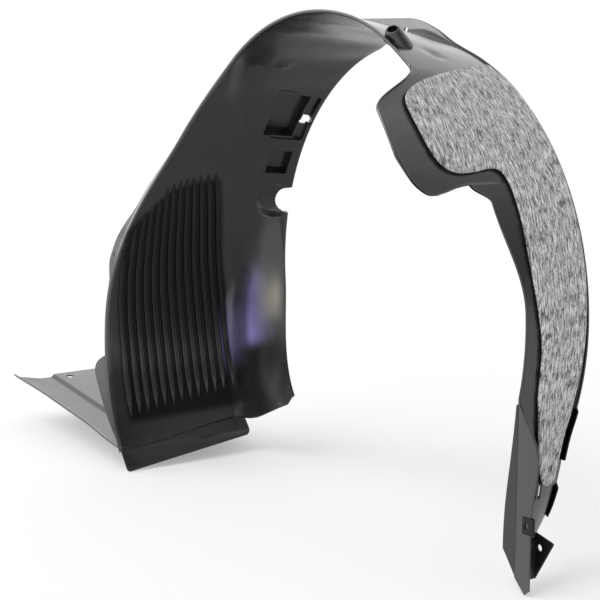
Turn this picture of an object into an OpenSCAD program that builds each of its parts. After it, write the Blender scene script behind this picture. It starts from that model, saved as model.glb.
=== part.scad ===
// Wheel arch liner: one moulded shell round the tyre, with a felt pad, a foot bracket and a nut clip.
// X runs along the car (front leg at -X), Y along the wheel axle (away from the viewer), Z is up.
// The wheel axle lies on the shell's own axis, axle_h above the floor.

/* [Arch] */
// Inner radius of the arch at its outer (fender side) edge
fender_r = 350; // [320:5:380]
// Inner radius of the arch at its inboard edge, over the top
inboard_r = 388; // [365:1:410]
// Y of the fender side edge
fender_y = 175; // [150:5:200]
// Wall of the moulding
wall = 2.4; // [2:0.2:3.4]
// Height of the wheel axle over the floor
axle_h = 332; // [322:1:342]

/* [Front leg] */
// How far the inboard edge of the front leg moves outward from the arch circle
leg_out = 140; // [110:5:160]
// How far the inboard edge of the front leg moves inboard of the arch
leg_flare = 85; // [60:5:100]
// Angle where the front leg ends at its fold, from the rear horizontal
leg_end = 214.5; // [212:0.5:216]
// Share of the width where the flat face of the leg bends to the fender side
leg_bend = 0.8; // [0.7:0.05:0.85]
// Height of the flap that hangs under the fold
flap_h = 33; // [25:1:36]
// Length of the flap along the axle
flap_len = 232; // [200:4:236]

/* [Ribs] */
// Number of upright ribs in the face of the front leg
rib_count = 13; // [8:1:15]
// Height of a rib
rib_h = 3.2; // [1.5:0.1:4]
// Angle where the ribs stop at their lower end
rib_low = 208; // [204:1:209]
// Angle where the tallest rib stops at its upper end
rib_high = 160; // [158:1:170]

/* [Flanges] */
// Return flange along the inboard edge
inboard_flange = 9; // [6:1:14]
// Standing flange on the fender side, over the top of the arch
fender_flange = 32; // [22:1:36]
// Standing flange on the fender side, along the front leg
leg_flange = 11; // [8:1:20]
// Standing flange on the fender side, along the foot
rear_flange = 6; // [5:1:12]
// Ear on the inboard edge, half way up the front leg
ear_w = 26; // [20:1:44]
// Gusset on the inboard edge, near the foot of the front leg
gusset_w = 52; // [30:2:56]
// Bore of the fixing holes in the standing flange
flange_hole_d = 8.5; // [6:0.5:10]
// Distance between the fixing holes in the standing flange
flange_hole_gap = 96; // [60:4:110]

/* [Rear leg] */
// Y of the inboard edge of the rear leg
rear_y = 73; // [60:1:85]
// How far the lobe reaches inboard
lobe_reach = 82; // [60:2:90]
// X of the straight foot
foot_x = 340; // [330:2:350]
// Widest reach of the flange on the foot
foot_flange = 41; // [30:1:46]
// Angle where the foot ends, under the rear horizontal
foot_end = 42.5; // [41:0.5:43.5]

/* [Plate] */
// X reach of the front plate beyond the fold
plate_len = 388; // [330:4:440]
// Slope of the front plate
plate_slope = 6; // [3:0.5:9]
// Y of the plate's fender side edge
plate_far = 165; // [145:5:175]
// Bore of the hole near the end of the plate
plate_hole_d = 14; // [8:1:16]

/* [Pockets] */
// Depth of the two moulded boxes
pocket_deep = 24; // [14:2:30]
// Bore of the hole beside the large box
pocket_hole_d = 17; // [12:1:18]

/* [Boss] */
// Height of the hollow boss over the shell
boss_h = 22; // [14:1:26]
// Bore of the boss
boss_bore = 13; // [8:0.5:14]

/* [Felt] */
// Thickness of the felt pad
felt_t = 6; // [4:0.5:8]
// Clearance between the felt and the shell
felt_gap = 1; // [0.8:0.1:1.4]

/* [Foot fittings] */
// Sheet of the foot bracket
bracket_t = 2.5; // [2:0.1:3]
// Bore in the foot bracket
bracket_bore = 9; // [6:0.5:10]
// Sheet of the nut clip
clip_t = 1.2; // [0.8:0.1:1.5]
// Width of the nut clip
clip_w = 18; // [14:1:22]
// Clearance between the fittings and the foot flange
fit_gap = 0.2; // [0.1:0.05:0.4]

/* [Hidden] */

// A smooth step from 0 at a to 1 at b
function ease(a, b, x) = let (t = min(1, max(0, (x - a) / (b - a)))) t * t * (3 - 2 * t);
function mix(a, b, t) = a + (b - a) * t;

// Inboard edge: Y and radius at an angle
function lobe_low(a) = 0.2 * ease(26.5, 30.3, a) + 0.47 * ease(30.3, 30.8, a) + 0.33 * sqrt(min(1, max(0, (a - 30.8) / 7)));
function lobe(a) = lobe_low(a) * (1 - ease(48.5, 56, a));
function rear_edge(a) = mix(rear_y, 0, ease(4, 28, a) * 0.4 + 0.6 * ease(27, 62, a));
function edge_y(a) = a > 90 ? -leg_flare * ease(124, 190, a) : mix(rear_edge(a), -lobe_reach, lobe(a));
function edge_r(a) =
    a > 90 ? inboard_r + leg_out * ease(148, 216, a)
           : max(mix(fender_r, inboard_r, ease(15, 80, a)), foot_x / cos(min(a, 0)));

// Fender side edge: radius at an angle
function fender_edge(a) = fender_r + 39 * ease(185, 214, a) + 38 * ease(-22, -48, a);

// The wheel side of the shell: radius at an angle and a share v of the width
function bend(a) = mix(0.1, leg_bend, ease(140, 190, a));
function straight(a) = mix(1, 0.2, ease(135, 185, a));
function fall(a, v) = straight(a) * v + (1 - straight(a)) * ease(bend(a), 1, v);
function sheet_r(a, v) = mix(edge_r(a), fender_edge(a), fall(a, v));
function sheet_y(a, v) = mix(edge_y(a), fender_y, v);
function share(a, y) = (y - edge_y(a)) / (fender_y - edge_y(a));

// Flange heights at an angle
function inboard_h(a) =
    a > 90 ? inboard_flange + (ear_w - inboard_flange) * ease(166, 176, a) * (1 - ease(179, 184, a))
             + (gusset_w - inboard_flange) * ease(195.8, 197.2, a) * (1 - min(1, max(0, (a - 197.2) / 15)))
           : inboard_flange * (1 - 0.45 * ease(60, 40, a)) * (1 - 0.8 * ease(26, 29, a) * (1 - ease(33, 38, a)))
             + foot_gain(a);
function foot_gain(a) = (foot_flange - inboard_flange * 0.55) * ease(-14, -24, a)
    * (1 - ease(-26, -foot_end, a)) + ease(-26, -foot_end, a) * foot_tip_gain;
foot_tip_gain = axle_h / sin(foot_end) - foot_x / cos(foot_end) - inboard_flange * 0.55;
function fender_h(a) =
    leg_flange + ((fender_r + fender_flange) / sin(min(max(a, 60), 120)) - fender_r - leg_flange)
        * ease(77, 94, a) * (1 - ease(114, 126, a)) - (leg_flange - 5) * ease(66, 50, a)
    + (rear_flange - 5) * ease(14, -8, a);

// Rows round the arch, closer together where the edge turns; the ribbed rows have more columns
rows = concat([for (a = [-foot_end : 6 : 20]) a], [24, 27.5, 29.3, 30.3, 30.8, 31.4, 32.8, 35, 38, 42.5, 47, 49.5, 52, 54.5, 57],
              [for (a = [62 : 6 : 152]) a], [rib_high - 4],
              [for (a = [rib_high : 4 : rib_low - 12]) a], [197.2], [for (a = [rib_low - 8 : 4 : rib_low]) a],
              [rib_low + 0.8, 211.5, leg_end]);
function ribbed(a) = a > rib_high - 1 && a < rib_low + 0.5;

// The columns across: two to each rib, then the bend and the fender side
plain_cols = [0.03, 0.1, 0.2, 0.32, 0.44, 0.55, 0.66, 0.76, 0.85, 0.91, 0.96];
rib_cols = 2 * rib_count + 1;
bend_cols = 6;
function rib_share(i, a) = 0.138 + 0.7116 * i / (rib_count - 1)
    - (0.003 + 0.0048 * i / (rib_count - 1)) * (rib_low - a);
function rib_top(i) = rib_high + 20 * pow((rib_count - 1 - i) / (rib_count - 1), 3);
function rib_edge(j, a) = max(rib_share((j - 1) / 2, a), 0.012 * (j + 1));
function shares(a) = !ribbed(a) ? plain_cols
    : concat([for (j = [0 : rib_cols - 1]) rib_edge(j, a)],
             [for (j = [1 : bend_cols]) mix(rib_edge(rib_cols - 1, a), 1, j / (bend_cols + 1))]);
function rib_lift(j, v, a) = ribbed(a) && j % 2 == 1 && j < rib_cols && a > rib_top((j - 1) / 2) && v > 0.07
    && a < rib_low - 1 ? rib_h : 0;

// One section: points [radius, Y] on the wheel side, from one flange tip to the other
function section(a) = let (cols = shares(a)) concat(
    [[edge_r(a) + inboard_h(a), edge_y(a)], [edge_r(a), edge_y(a)]],
    [for (j = [0 : len(cols) - 1]) [sheet_r(a, cols[j]) - rib_lift(j, cols[j], a), sheet_y(a, cols[j])]],
    [[fender_edge(a), fender_y], [fender_edge(a) + fender_h(a), fender_y]]);

// The same section moved by one wall, to the side away from the wheel
function unit(p) = p / norm(p);
function side(p, q) = let (d = unit(q - p)) [d[1], -d[0]];
function moved(s, w) = [for (k = [0 : len(s) - 1])
    let (n1 = side(s[max(k - 1, 0)], s[max(k, 1)]),
         n2 = side(s[min(k, len(s) - 2)], s[min(k + 1, len(s) - 1)]),
         m = unit(n1 + n2))
    s[k] + m * w / max(0.5, m * n1)];

// The lower end of the front leg rises towards the fender side, and the lobe hangs at its inboard end
function row_angle(a, y) = let (v = share(min(a, 205), y))
    a < 90 ? a - 2.2 * ease(20, 29, a) * (1 - ease(33, 42, a)) * (1 - ease(-45, 20, y))
    : a < 209 ? a : a - ease(208.9, leg_end, a) * (3.5 * ease(0, 0.9, v) - 3 * ease(0.9, 1, v));
function placed(p, a) = let (b = row_angle(a, p[1])) [p[0] * cos(b), p[1], p[0] * sin(b)];

// A closed sheet from two grids of points: the wheel side and the far side. Rows may differ in length
function total(v, n) = n == 0 ? 0 : v[n - 1] + total(v, n - 1);
function strip(a, n, b, m, i = 0, j = 0) = i == n - 1 && j == m - 1 ? []
    : j == m - 1 || (i < n - 1 && (i + 1) * (m - 1) <= (j + 1) * (n - 1))
        ? concat([[a + i, a + i + 1, b + j]], strip(a, n, b, m, i + 1, j))
        : concat([[a + i, b + j + 1, b + j]], strip(a, n, b, m, i, j + 1));
function flipped(faces) = [for (f = faces) [f[0], f[2], f[1]]];
module sheet(front, back) {
    sizes = [for (r = front) len(r)];
    n = len(front);
    first = [for (i = [0 : n]) total(sizes, i)];
    o = first[n];
    skin = [for (i = [0 : n - 2]) each strip(first[i], sizes[i], first[i + 1], sizes[i + 1])];
    rim = concat([for (i = [0 : n - 1]) first[i]], [for (j = [1 : sizes[n - 1] - 1]) first[n - 1] + j],
                 [for (i = [n - 2 : -1 : 0]) first[i + 1] - 1], [for (j = [sizes[0] - 2 : -1 : 1]) j]);
    points = concat([for (r = front) each r], [for (r = back) each r]);
    faces = concat(skin, [for (f = flipped(skin)) [f[0] + o, f[1] + o, f[2] + o]],
        [for (k = [0 : len(rim) - 1]) let (p = rim[k], q = rim[(k + 1) % len(rim)]) each [[p, q, q + o], [p, q + o, p + o]]]);
    polyhedron(points, faces);
}

module arch_sheet() {
    sheet([for (a = rows) [for (p = section(a)) placed(p, a)]],
          [for (a = rows) [for (p = moved(section(a), wall)) placed(p, a)]]);
}

// Solids turned about the wheel axle from angle a0 to a1, from an outline of [radius, Y] points
module turned(a0, a1, outline) {
    rotate([90, 0, 0]) rotate([0, 0, a0])
        rotate_extrude(angle = a1 - a0, $fn = 120) mirror([0, 1]) polygon(outline);
}

// A drill along the radius at angle a and height y
module radial(a, y, d, r0, r1) {
    translate([r0 * cos(a), y, r0 * sin(a)]) rotate([0, 90 - a, 0]) cylinder(d = d, h = r1 - r0, $fn = 48);
}

// The moulded boxes: [first angle, last angle, inboard Y, fender side Y]
large_box = [131, 146, 102, 149];
small_box = [149.5, 156.5, 122, 158];
function box_floor(b) = sheet_r(b[0], share(b[0], b[2])) + pocket_deep;
module box_wall(b) {
    mid = wall / 2;
    edge = wall / fender_r * 180 / PI;
    turned(b[0] - edge, b[1] + edge,
        [[sheet_r(b[1], share(b[1], b[2])) + mid, b[2] - wall], [box_floor(b) + wall, b[2] - wall],
         [box_floor(b) + wall, b[3] + wall], [sheet_r(b[1], share(b[1], b[3])) + mid, b[3] + wall]]);
}
module box_room(b) {
    turned(b[0], b[1],
        [[fender_r - 25, b[2]], [box_floor(b), b[2]], [box_floor(b), b[3]], [fender_r - 25, b[3]]]);
}

// The hollow boss beside the strut notch
boss_a = 67;
boss_y = 24;
boss_r = sheet_r(boss_a, share(boss_a, boss_y));
boss_lean = 32;
boss_foot = 8;
module boss_axis() {
    translate([boss_r * cos(boss_a), boss_y, boss_r * sin(boss_a)]) rotate([boss_lean, 90 - boss_a, 0]) children();
}
module boss_body() {
    difference() {
        boss_axis() translate([0, 0, -boss_foot])
            cylinder(r1 = boss_bore * 1.4, r2 = boss_bore * 0.78, h = boss_h + boss_foot, $fn = 48);
        turned(boss_a - 6, boss_a + 6, [[fender_r - 20, boss_y - 35], [boss_under(-35), boss_y - 35],
                                        [boss_under(35), boss_y + 35], [fender_r - 20, boss_y + 35]]);
    }
}
function boss_under(d) = sheet_r(boss_a, share(boss_a, boss_y + d)) + wall * 0.4;

// The flap under the fold, in the slope of the leg's lower end
fold_slope = 8;
fold_lean = 24;
fold_r = edge_r(leg_end);
flap_round = 9;
module flap() {
    depth = flap_h / cos(fold_slope) / cos(fold_lean);
    translate([fold_r * cos(leg_end), -leg_flare, fold_r * sin(leg_end)])
        rotate([fold_slope, 0, 0]) rotate([0, -fold_lean, 0]) rotate([90, 0, -90]) mirror([1, 0, 0])
            linear_extrude(wall) hull() {
                translate([0, -6]) square([flap_len - 2, 10]);
                translate([6, 6 - depth]) circle(6, $fn = 32);
                translate([flap_len - flap_round, flap_round - depth]) circle(flap_round, $fn = 32);
            }
}

// The front plate: it leaves the fold and rises to the front, with its lips turned up and down
fold_x = fold_r * cos(leg_end);
plate_cols = [-leg_flare, -leg_flare + 7, -30, -22, 60, 70, 130, plate_far - 3, plate_far];
plate_rows = [0, 14, 40, 84, 100, 146, 158, 240, 320, plate_len];
plate_floor = wall - axle_h;
function fold_z(y) = fold_r * sin(leg_end) + 4 + (min(y, 140) + leg_flare) * tan(fold_slope);
function plate_top(u) = plate_floor + flap_h + u * tan(plate_slope);
function plate_step(u, y) = 5 * ease(-30, -22, y) * ease(40, 100, u) - 4 * ease(146, 158, u) * ease(60, 70, y)
    + 6 * (1 - ease(-leg_flare, -leg_flare + 7, y)) * ease(40, 146, u);
function plate_lip(u) = mix(6, plate_top(u) + plate_step(u, plate_far) - plate_floor, ease(84, 100, u) * (1 - ease(146, 158, u)));
function plate_z(u, y) = mix(fold_z(y), plate_top(u) + plate_step(u, y), ease(0, 40, u))
    - (y > plate_far - 1 ? plate_lip(u) : 0);
function plate_x(u, y) = fold_x - wall / 2 - (y + leg_flare) * 0.04
    - u * (1 + 0.1 * (1 - ease(-leg_flare, -45, y)) * ease(plate_len - 90, plate_len, u));
function plate_y(u, y) = y < 100 ? y : mix(min(y, 140) - (plate_far - y) * 0.02, y, ease(0, 40, u));
module plate() {
    sheet([for (u = plate_rows) [for (y = plate_cols)
              [plate_x(u, y), plate_y(u, y) - (y > plate_far - 1 ? wall : 0), plate_z(u, y) - wall]]],
          [for (u = plate_rows) [for (y = plate_cols) [plate_x(u, y), plate_y(u, y), plate_z(u, y)]]]);
}
plate_hole_u = plate_len - 24;
plate_hole_y = -2;

// The half round notch in the fender side edge, and the hole beside the large box
notch_a = 163.7;
notch_d = 44;
drain_a = 140;
drain_y = fender_y - 13;
flange_hole_z = fender_r + fender_flange / 2;
flange_hole_x = -78;

// The toe of the foot, inboard of its flange
toe_w = 18;
toe_rows = [for (a = rows) if (a < -15) a];
toe_rise = 3.4;
function toe_point(a, t, up) = let (b = a + toe_rise * (1 - t) * ease(-24, -foot_end, a), r = edge_r(b) + up)
    [r * cos(b), mix(toe_y(a), edge_y(a) + wall / 2, t), r * sin(b)];
function toe_y(a) = edge_y(a) - 0.6 - toe_w * ease(-10, -foot_end, a);
module toe() {
    sheet([for (a = toe_rows) [for (t = [0, 0.5, 1]) toe_point(a, t, 0.2)]],
          [for (a = toe_rows) [for (t = [0, 0.5, 1]) toe_point(a, t, wall - 0.2)]]);
}

// The whole part stands on the floor, with the origin under the middle of its box
front_x = plate_x(plate_len, -leg_flare);
rear_x = max([for (a = rows) if (a < 0) (edge_r(a) + inboard_h(a)) * cos(a)]);
module standing() {
    translate([-(front_x + rear_x) / 2, -(fender_y - leg_flare) / 2, axle_h]) children();
}

module liner_shell() {
    color("#2d2d30") standing() difference() {
        union() {
            arch_sheet();
            toe();
            plate();
            flap();
            box_wall(large_box);
            box_wall(small_box);
            boss_body();
        }
        box_room(large_box);
        box_room(small_box);
        radial(drain_a, drain_y, pocket_hole_d, fender_r - 30, fender_r + 40);
        radial(notch_a, fender_y, notch_d, fender_r - 30, fender_r + 40);
        boss_axis() translate([0, 0, -20]) cylinder(d = boss_bore, h = boss_h + 40, $fn = 48);
        for (s = [-1, 1]) translate([flange_hole_x + s * flange_hole_gap / 2, fender_y + 5, flange_hole_z])
            rotate([90, 0, 0]) cylinder(d = flange_hole_d, h = 12, $fn = 48);
        translate([plate_x(plate_hole_u, plate_hole_y), plate_hole_y, plate_top(plate_hole_u) - 20])
            cylinder(d = plate_hole_d, h = 50, $fn = 48);
    }
}

// The felt pad lies on the outer side of the rear leg and the lobe
felt_rows = concat([-33], [for (a = rows) if (a > -33 && a < 53) a]);
felt_cols = 7;
function felt_low(a) = a > 33 ? -33 : mix(145, 80, ease(-36, 20, a));
function felt_y(a, k) = mix(felt_low(a), fender_y - 4 - 13 * ease(12, -14, a), k / felt_cols);
function felt_a(a, k) = a + ease(45, 52, a) * 11 * k / felt_cols;
function felt_point(a, k, up) = let (y = felt_y(a, k), b = felt_a(a, k),
    r = sheet_r(b, min(0.995, share(b, y))) + wall + felt_gap + up) placed([r, y], b);
module felt_pad() {
    color("#9a9a9a") standing()
        sheet([for (a = felt_rows) [for (k = [0 : felt_cols]) felt_point(a, k, 0)]],
              [for (a = felt_rows) [for (k = [0 : felt_cols]) felt_point(a, k, felt_t)]]);
}

// The foot bracket stands behind the foot flange
bracket_z = -318;
bracket_h = 54;
bracket_reach = 28;
module foot_bracket() {
    color("#161617") standing() translate([foot_x + 6, rear_y + wall + fit_gap, bracket_z]) difference() {
        union() {
            cube([16, bracket_t, bracket_h]);
            cube([bracket_t, bracket_reach, bracket_h]);
            translate([0, bracket_reach, 0]) rotate([90, 0, 0]) linear_extrude(bracket_t)
                hull() for (c = [[2, 4], [2, bracket_h + 4], [32, bracket_h - 2]]) translate(c) circle(2, $fn = 24);
        }
        translate([10, bracket_reach + 12, bracket_h - 12])
            rotate([90, 0, 0]) cylinder(d = bracket_bore, h = 30, $fn = 48);
    }
}

// The nut clip is folded over the outer edge of the foot flange
clip_a = -33;
clip_long = 22;
module nut_clip() {
    tip = edge_r(clip_a) + inboard_h(clip_a);
    color("#4a4b4e") standing() translate([tip * cos(clip_a) + 2, edge_y(clip_a), tip * sin(clip_a)])
        difference() {
            translate([clip_t - clip_w, -fit_gap - clip_t, -clip_long / 2])
                cube([clip_w, wall + 2 * (fit_gap + clip_t), clip_long]);
            translate([-clip_w, -fit_gap, -clip_long / 2 - 1])
                cube([clip_w, wall + 2 * fit_gap, clip_long + 2]);
            translate([-clip_w / 2, 10, 0]) rotate([90, 0, 0]) cylinder(d = 7, h = 30, $fn = 48);
        }
}

liner_shell();
felt_pad();
foot_bracket();
nut_clip();
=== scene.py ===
import math
import bmesh
import bpy
import numpy as np
from mathutils import Matrix, Vector
from mathutils.geometry import delaunay_2d_cdt


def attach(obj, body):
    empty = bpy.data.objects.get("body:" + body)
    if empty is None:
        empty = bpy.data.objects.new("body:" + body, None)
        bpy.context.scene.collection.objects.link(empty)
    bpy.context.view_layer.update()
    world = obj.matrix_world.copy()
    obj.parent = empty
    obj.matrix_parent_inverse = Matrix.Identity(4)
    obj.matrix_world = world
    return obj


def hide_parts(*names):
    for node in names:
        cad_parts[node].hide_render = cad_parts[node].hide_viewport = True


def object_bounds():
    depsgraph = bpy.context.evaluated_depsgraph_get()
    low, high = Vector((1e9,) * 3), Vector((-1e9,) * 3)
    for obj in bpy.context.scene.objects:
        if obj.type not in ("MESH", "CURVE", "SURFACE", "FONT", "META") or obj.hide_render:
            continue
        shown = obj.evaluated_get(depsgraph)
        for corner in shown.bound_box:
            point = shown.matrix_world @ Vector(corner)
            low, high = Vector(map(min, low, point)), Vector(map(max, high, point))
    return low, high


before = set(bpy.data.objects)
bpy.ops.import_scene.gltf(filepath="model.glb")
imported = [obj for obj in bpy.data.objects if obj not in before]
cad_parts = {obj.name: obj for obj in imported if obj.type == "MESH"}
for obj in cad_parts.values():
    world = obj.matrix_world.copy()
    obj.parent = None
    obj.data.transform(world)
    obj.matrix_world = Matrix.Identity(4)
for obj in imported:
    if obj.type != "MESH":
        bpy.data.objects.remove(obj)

cad_bounds = [list(map(float, corner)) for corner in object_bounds()]
scene = bpy.context.scene


# ---- The view ---------------------------------------------------------------------------
# The camera stands outside the rear leg, a little above the wheel axle, and looks along the
# arch to the front leg. A long lens from 2.2 m keeps the two legs nearly the same size.
camera_turn = math.radians(57)
camera_rise = math.radians(9.44)
camera = bpy.data.objects.new("camera", bpy.data.cameras.new("camera"))
scene.collection.objects.link(camera)
camera.data.lens = 96
camera.data.sensor_width = 36
camera.data.clip_end = 400
camera.location = (2.0528, -1.2461, 0.6920)
camera.rotation_euler = (math.pi / 2 - camera_rise, 0, camera_turn)
scene.camera = camera
scene.view_settings.view_transform = "Standard"


# ---- The white floor --------------------------------------------------------------------
# A matt white sweep, like the roll of paper that parts are photographed on. It is lit to just
# under white, and keeps the soft shadow under the flap and the plate. In the part's reflections
# it is a painted glow instead: a painted highlight, brightest on the inboard side, and painted
# shade between the legs, where the part would shade it.
def linear(colour):
    """An sRGB hex colour as the linear values a shader takes."""
    parts = [int(colour[i:i + 2], 16) / 255 for i in (1, 3, 5)]
    return tuple(c / 12.92 if c <= 0.04045 else ((c + 0.055) / 1.055) ** 2.4 for c in parts) + (1.0,)


def put(tree, kind, inputs=None, **settings):
    """Adds a node, with its settings and what goes into its sockets."""
    node = tree.nodes.new(kind)
    for name, value in settings.items():
        setattr(node, name, value)
    for name, value in (inputs or {}).items():
        if isinstance(value, bpy.types.NodeSocket):
            tree.links.new(value, node.inputs[name])
        else:
            node.inputs[name].default_value = value
    return node


paper = bpy.data.materials.new("matt white paper")
paper.use_nodes = True
tree = paper.node_tree
tree.nodes.clear()
place = put(tree, "ShaderNodeTexCoord")
reach = put(tree, "ShaderNodeVectorMath", {0: place.outputs["Object"]}, operation="LENGTH")
far = put(tree, "ShaderNodeMapRange", {"Value": reach.outputs["Value"], "From Min": 0.6, "From Max": 1.3, "To Min": 0.3},
          interpolation_type="SMOOTHSTEP")
ray = put(tree, "ShaderNodeLightPath")
# Painted reflection of the floor, seen only by glossy rays: full white on the inboard side, and painted shade that dims
# it near the part.
inner_side = put(tree, "ShaderNodeVectorMath", {0: place.outputs["Object"], 1: (-0.6, 1.0, 0)}, operation="DOT_PRODUCT")
under = put(tree, "ShaderNodeMapRange", {"Value": inner_side.outputs["Value"], "From Min": -0.36, "From Max": -0.24},
            interpolation_type="SMOOTHSTEP")
painted_floor_shade = put(tree, "ShaderNodeMapRange", {"Value": reach.outputs["Value"], "From Min": 0.4, "From Max": 1.1, "To Min": 0.36,
                                        "To Max": 0.75}, interpolation_type="SMOOTHSTEP")
mirrored = put(tree, "ShaderNodeMix", {0: under.outputs["Result"], 2: 1.0, 3: painted_floor_shade.outputs["Result"]})
matt = put(tree, "ShaderNodeBsdfPrincipled", {"Base Color": linear("#ffffff"), "Roughness": 1.0, "Specular IOR Level": 0.0})
glow = put(tree, "ShaderNodeEmission", {"Color": linear("#ffffff"), "Strength": 1.0})
share_of_glow = put(tree, "ShaderNodeMath", {0: far.outputs["Result"], 1: ray.outputs["Is Camera Ray"]},
                    operation="MULTIPLY")
blend = put(tree, "ShaderNodeMixShader", {0: share_of_glow.outputs[0], 1: matt.outputs[0], 2: glow.outputs[0]})
sheen = put(tree, "ShaderNodeEmission", {"Color": linear("#ffffff"), "Strength": mirrored.outputs[0]})
blend = put(tree, "ShaderNodeMixShader", {0: ray.outputs["Is Glossy Ray"], 1: blend.outputs[0], 2: sheen.outputs[0]})
put(tree, "ShaderNodeOutputMaterial", {"Surface": blend.outputs[0]})

floor_mesh = bpy.data.meshes.new("floor")
floor_mesh.from_pydata([(x, y, cad_bounds[0][2] - 0.0002) for x, y in ((-150, -150), (150, -150), (150, 150), (-150, 150))],
                       [], [(0, 1, 2, 3)])
floor_mesh.materials.append(paper)
floor = bpy.data.objects.new("floor", floor_mesh)
scene.collection.objects.link(floor)


# ---- The light --------------------------------------------------------------------------
# An even white room with one broad soft lamp high on the left and a soft box beside the part. The
# room behind the camera is dimmer than the backdrop, so faces turned to the camera stay dark and
# glancing ones shine.
scene.world = bpy.data.worlds.new("white room")
scene.world.use_nodes = True
tree = scene.world.node_tree
tree.nodes.clear()
ray = put(tree, "ShaderNodeLightPath")
seen = put(tree, "ShaderNodeMath", {0: ray.outputs["Is Camera Ray"], 1: ray.outputs["Is Transmission Ray"]},
           operation="MAXIMUM")
place = put(tree, "ShaderNodeTexCoord")
ahead = put(tree, "ShaderNodeVectorMath", {0: place.outputs["Generated"],
                                           1: (-math.sin(camera_turn), math.cos(camera_turn), 0.35)},
            operation="DOT_PRODUCT")
backdrop = put(tree, "ShaderNodeMapRange", {"Value": ahead.outputs["Value"], "From Min": -0.2, "From Max": 0.7,
                                            "To Min": 0.32, "To Max": 1.0}, interpolation_type="SMOOTHSTEP")
room = put(tree, "ShaderNodeMix", {0: ray.outputs["Is Glossy Ray"], 2: 0.62, 3: backdrop.outputs["Result"]})
level = put(tree, "ShaderNodeMix", {0: seen.outputs[0], 2: room.outputs[0], 3: 1.0})
sky = put(tree, "ShaderNodeBackground", {"Color": linear("#ffffff"), "Strength": level.outputs[0]})
put(tree, "ShaderNodeOutputWorld", {"Surface": sky.outputs[0]})

lamp = bpy.data.objects.new("soft lamp", bpy.data.lights.new("soft lamp", "SUN"))
lamp.data.energy = 1.3
lamp.data.angle = math.radians(50)
lamp.rotation_euler = (math.radians(38), 0, math.radians(57 - 50))
scene.collection.objects.link(lamp)
box = bpy.data.objects.new("soft box", bpy.data.lights.new("soft box", "AREA"))
box.data.shape, box.data.size, box.data.size_y = "RECTANGLE", 1.3, 1.1
box.data.energy = 16.0
box.location = (-1.5, -1.75, 0.85)
box.rotation_euler = (box.location - Vector((0.0, 0.0, 0.42))).to_track_quat("Z", "Y").to_euler()
scene.collection.objects.link(box)


# ---- The liner shell --------------------------------------------------------------------
# One injection moulding in black polypropylene with a 2.4 mm wall. It runs round the tyre from
# the foot behind the wheel, over the top, to the fold of the front leg, where it widens and
# bends in an S. Flanges stand along both edges, away from the wheel.
wall = 2.4
fender_r, inboard_r, fender_y = 350.0, 388.0, 175.0
leg_out, leg_flare, leg_end, leg_bend = 140.0, 85.0, 214.5, 0.8
inboard_flange, fender_flange, leg_flange = 9.0, 32.0, 11.0
ear_w, gusset_w, rear_flange = 26.0, 56.0, 6.0
rear_y, lobe_reach, foot_x, foot_flange, foot_end = 73.0, 82.0, 340.0, 41.0, 42.5
axle_h = 332.0
stand = np.array([242.8325, -45.0, axle_h])


def ease(a, b, x):
    t = np.clip((x - a) / (b - a), 0, 1)
    return t * t * (3 - 2 * t)


def mix(a, b, t):
    return a + (b - a) * t


def edge_y(a):
    rear = mix(rear_y, 0, ease(4, 28, a) * 0.4 + 0.6 * ease(27, 62, a))
    low = 0.2 * ease(26.5, 30.3, a) + 0.47 * ease(30.3, 30.8, a) + 0.33 * np.sqrt(np.clip((a - 30.8) / 7, 0, 1))
    return np.where(a > 90, -leg_flare * ease(124, 190, a), mix(rear, -lobe_reach, low * (1 - ease(46.8, 57.6, a))))


def edge_r(a):
    rear = np.maximum(mix(fender_r, inboard_r, ease(15, 80, a)), foot_x / np.cos(np.radians(np.minimum(a, 0))))
    return np.where(a > 90, inboard_r + leg_out * ease(148, 216, a), rear)


def fender_edge(a):
    return fender_r + 39 * ease(185, 214, a) + 38 * ease(-22, -48, a)


def sheet_r(a, v):
    """The wheel side of the shell: its radius at an angle and a share of the width."""
    bend = mix(0.1, leg_bend, ease(140, 190, a))
    straight = mix(1, 0.2, ease(135, 185, a))
    fall = straight * v + (1 - straight) * ease(bend, 1, v)
    return mix(edge_r(a), fender_edge(a), fall)


def share(a, y):
    return (y - edge_y(a)) / (fender_y - edge_y(a))


def inboard_h(a):
    down = np.radians(np.clip(-a, 20, 60))
    wide = np.minimum((foot_flange - 11.4 * ease(-23, -33, a)) / np.cos(down), (axle_h - 1) / np.sin(down) - foot_x / np.cos(down))
    foot = (wide - inboard_flange * 0.55) * ease(-14, -21.5, a)
    low = 1 - 0.5 * ease(48, 62, a) * (1 - ease(150, 164, a))
    front = inboard_flange * low + (ear_w - inboard_flange) * ease(166, 176, a) * (1 - ease(179, 184, a)) \
        + (gusset_w - inboard_flange) * np.sqrt(1 - (1 - np.clip((a - 197.4) / 2.4, 0, 1)) ** 2) \
        * (1 - np.clip((a - 198) / 14, 0, 1))
    trimmed = 1 - 0.8 * ease(26, 29, a) * (1 - ease(33, 38, a))
    return np.where(a > 90, front, inboard_flange * low * (1 - 0.45 * ease(60, 40, a)) * trimmed + foot)


def fender_h(a):
    flat = (fender_r + fender_flange) / np.sin(np.radians(np.clip(a, 60, 120))) - fender_r - leg_flange
    strips = 4 * ease(-17.6, -18.6, a) * (1 - ease(-29.6, -30.4, a)) - 4.5 * ease(-29.6, -30.4, a) * (1 - ease(-35, -35.8, a)) \
        + 3 * ease(-35, -35.8, a)
    return (leg_flange + flat * ease(77, 94, a) * (1 - ease(114, 126, a)) - (leg_flange - 5) * ease(84, 72, a)
            + (rear_flange - 5) * ease(14, -8, a) + strips)


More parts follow.
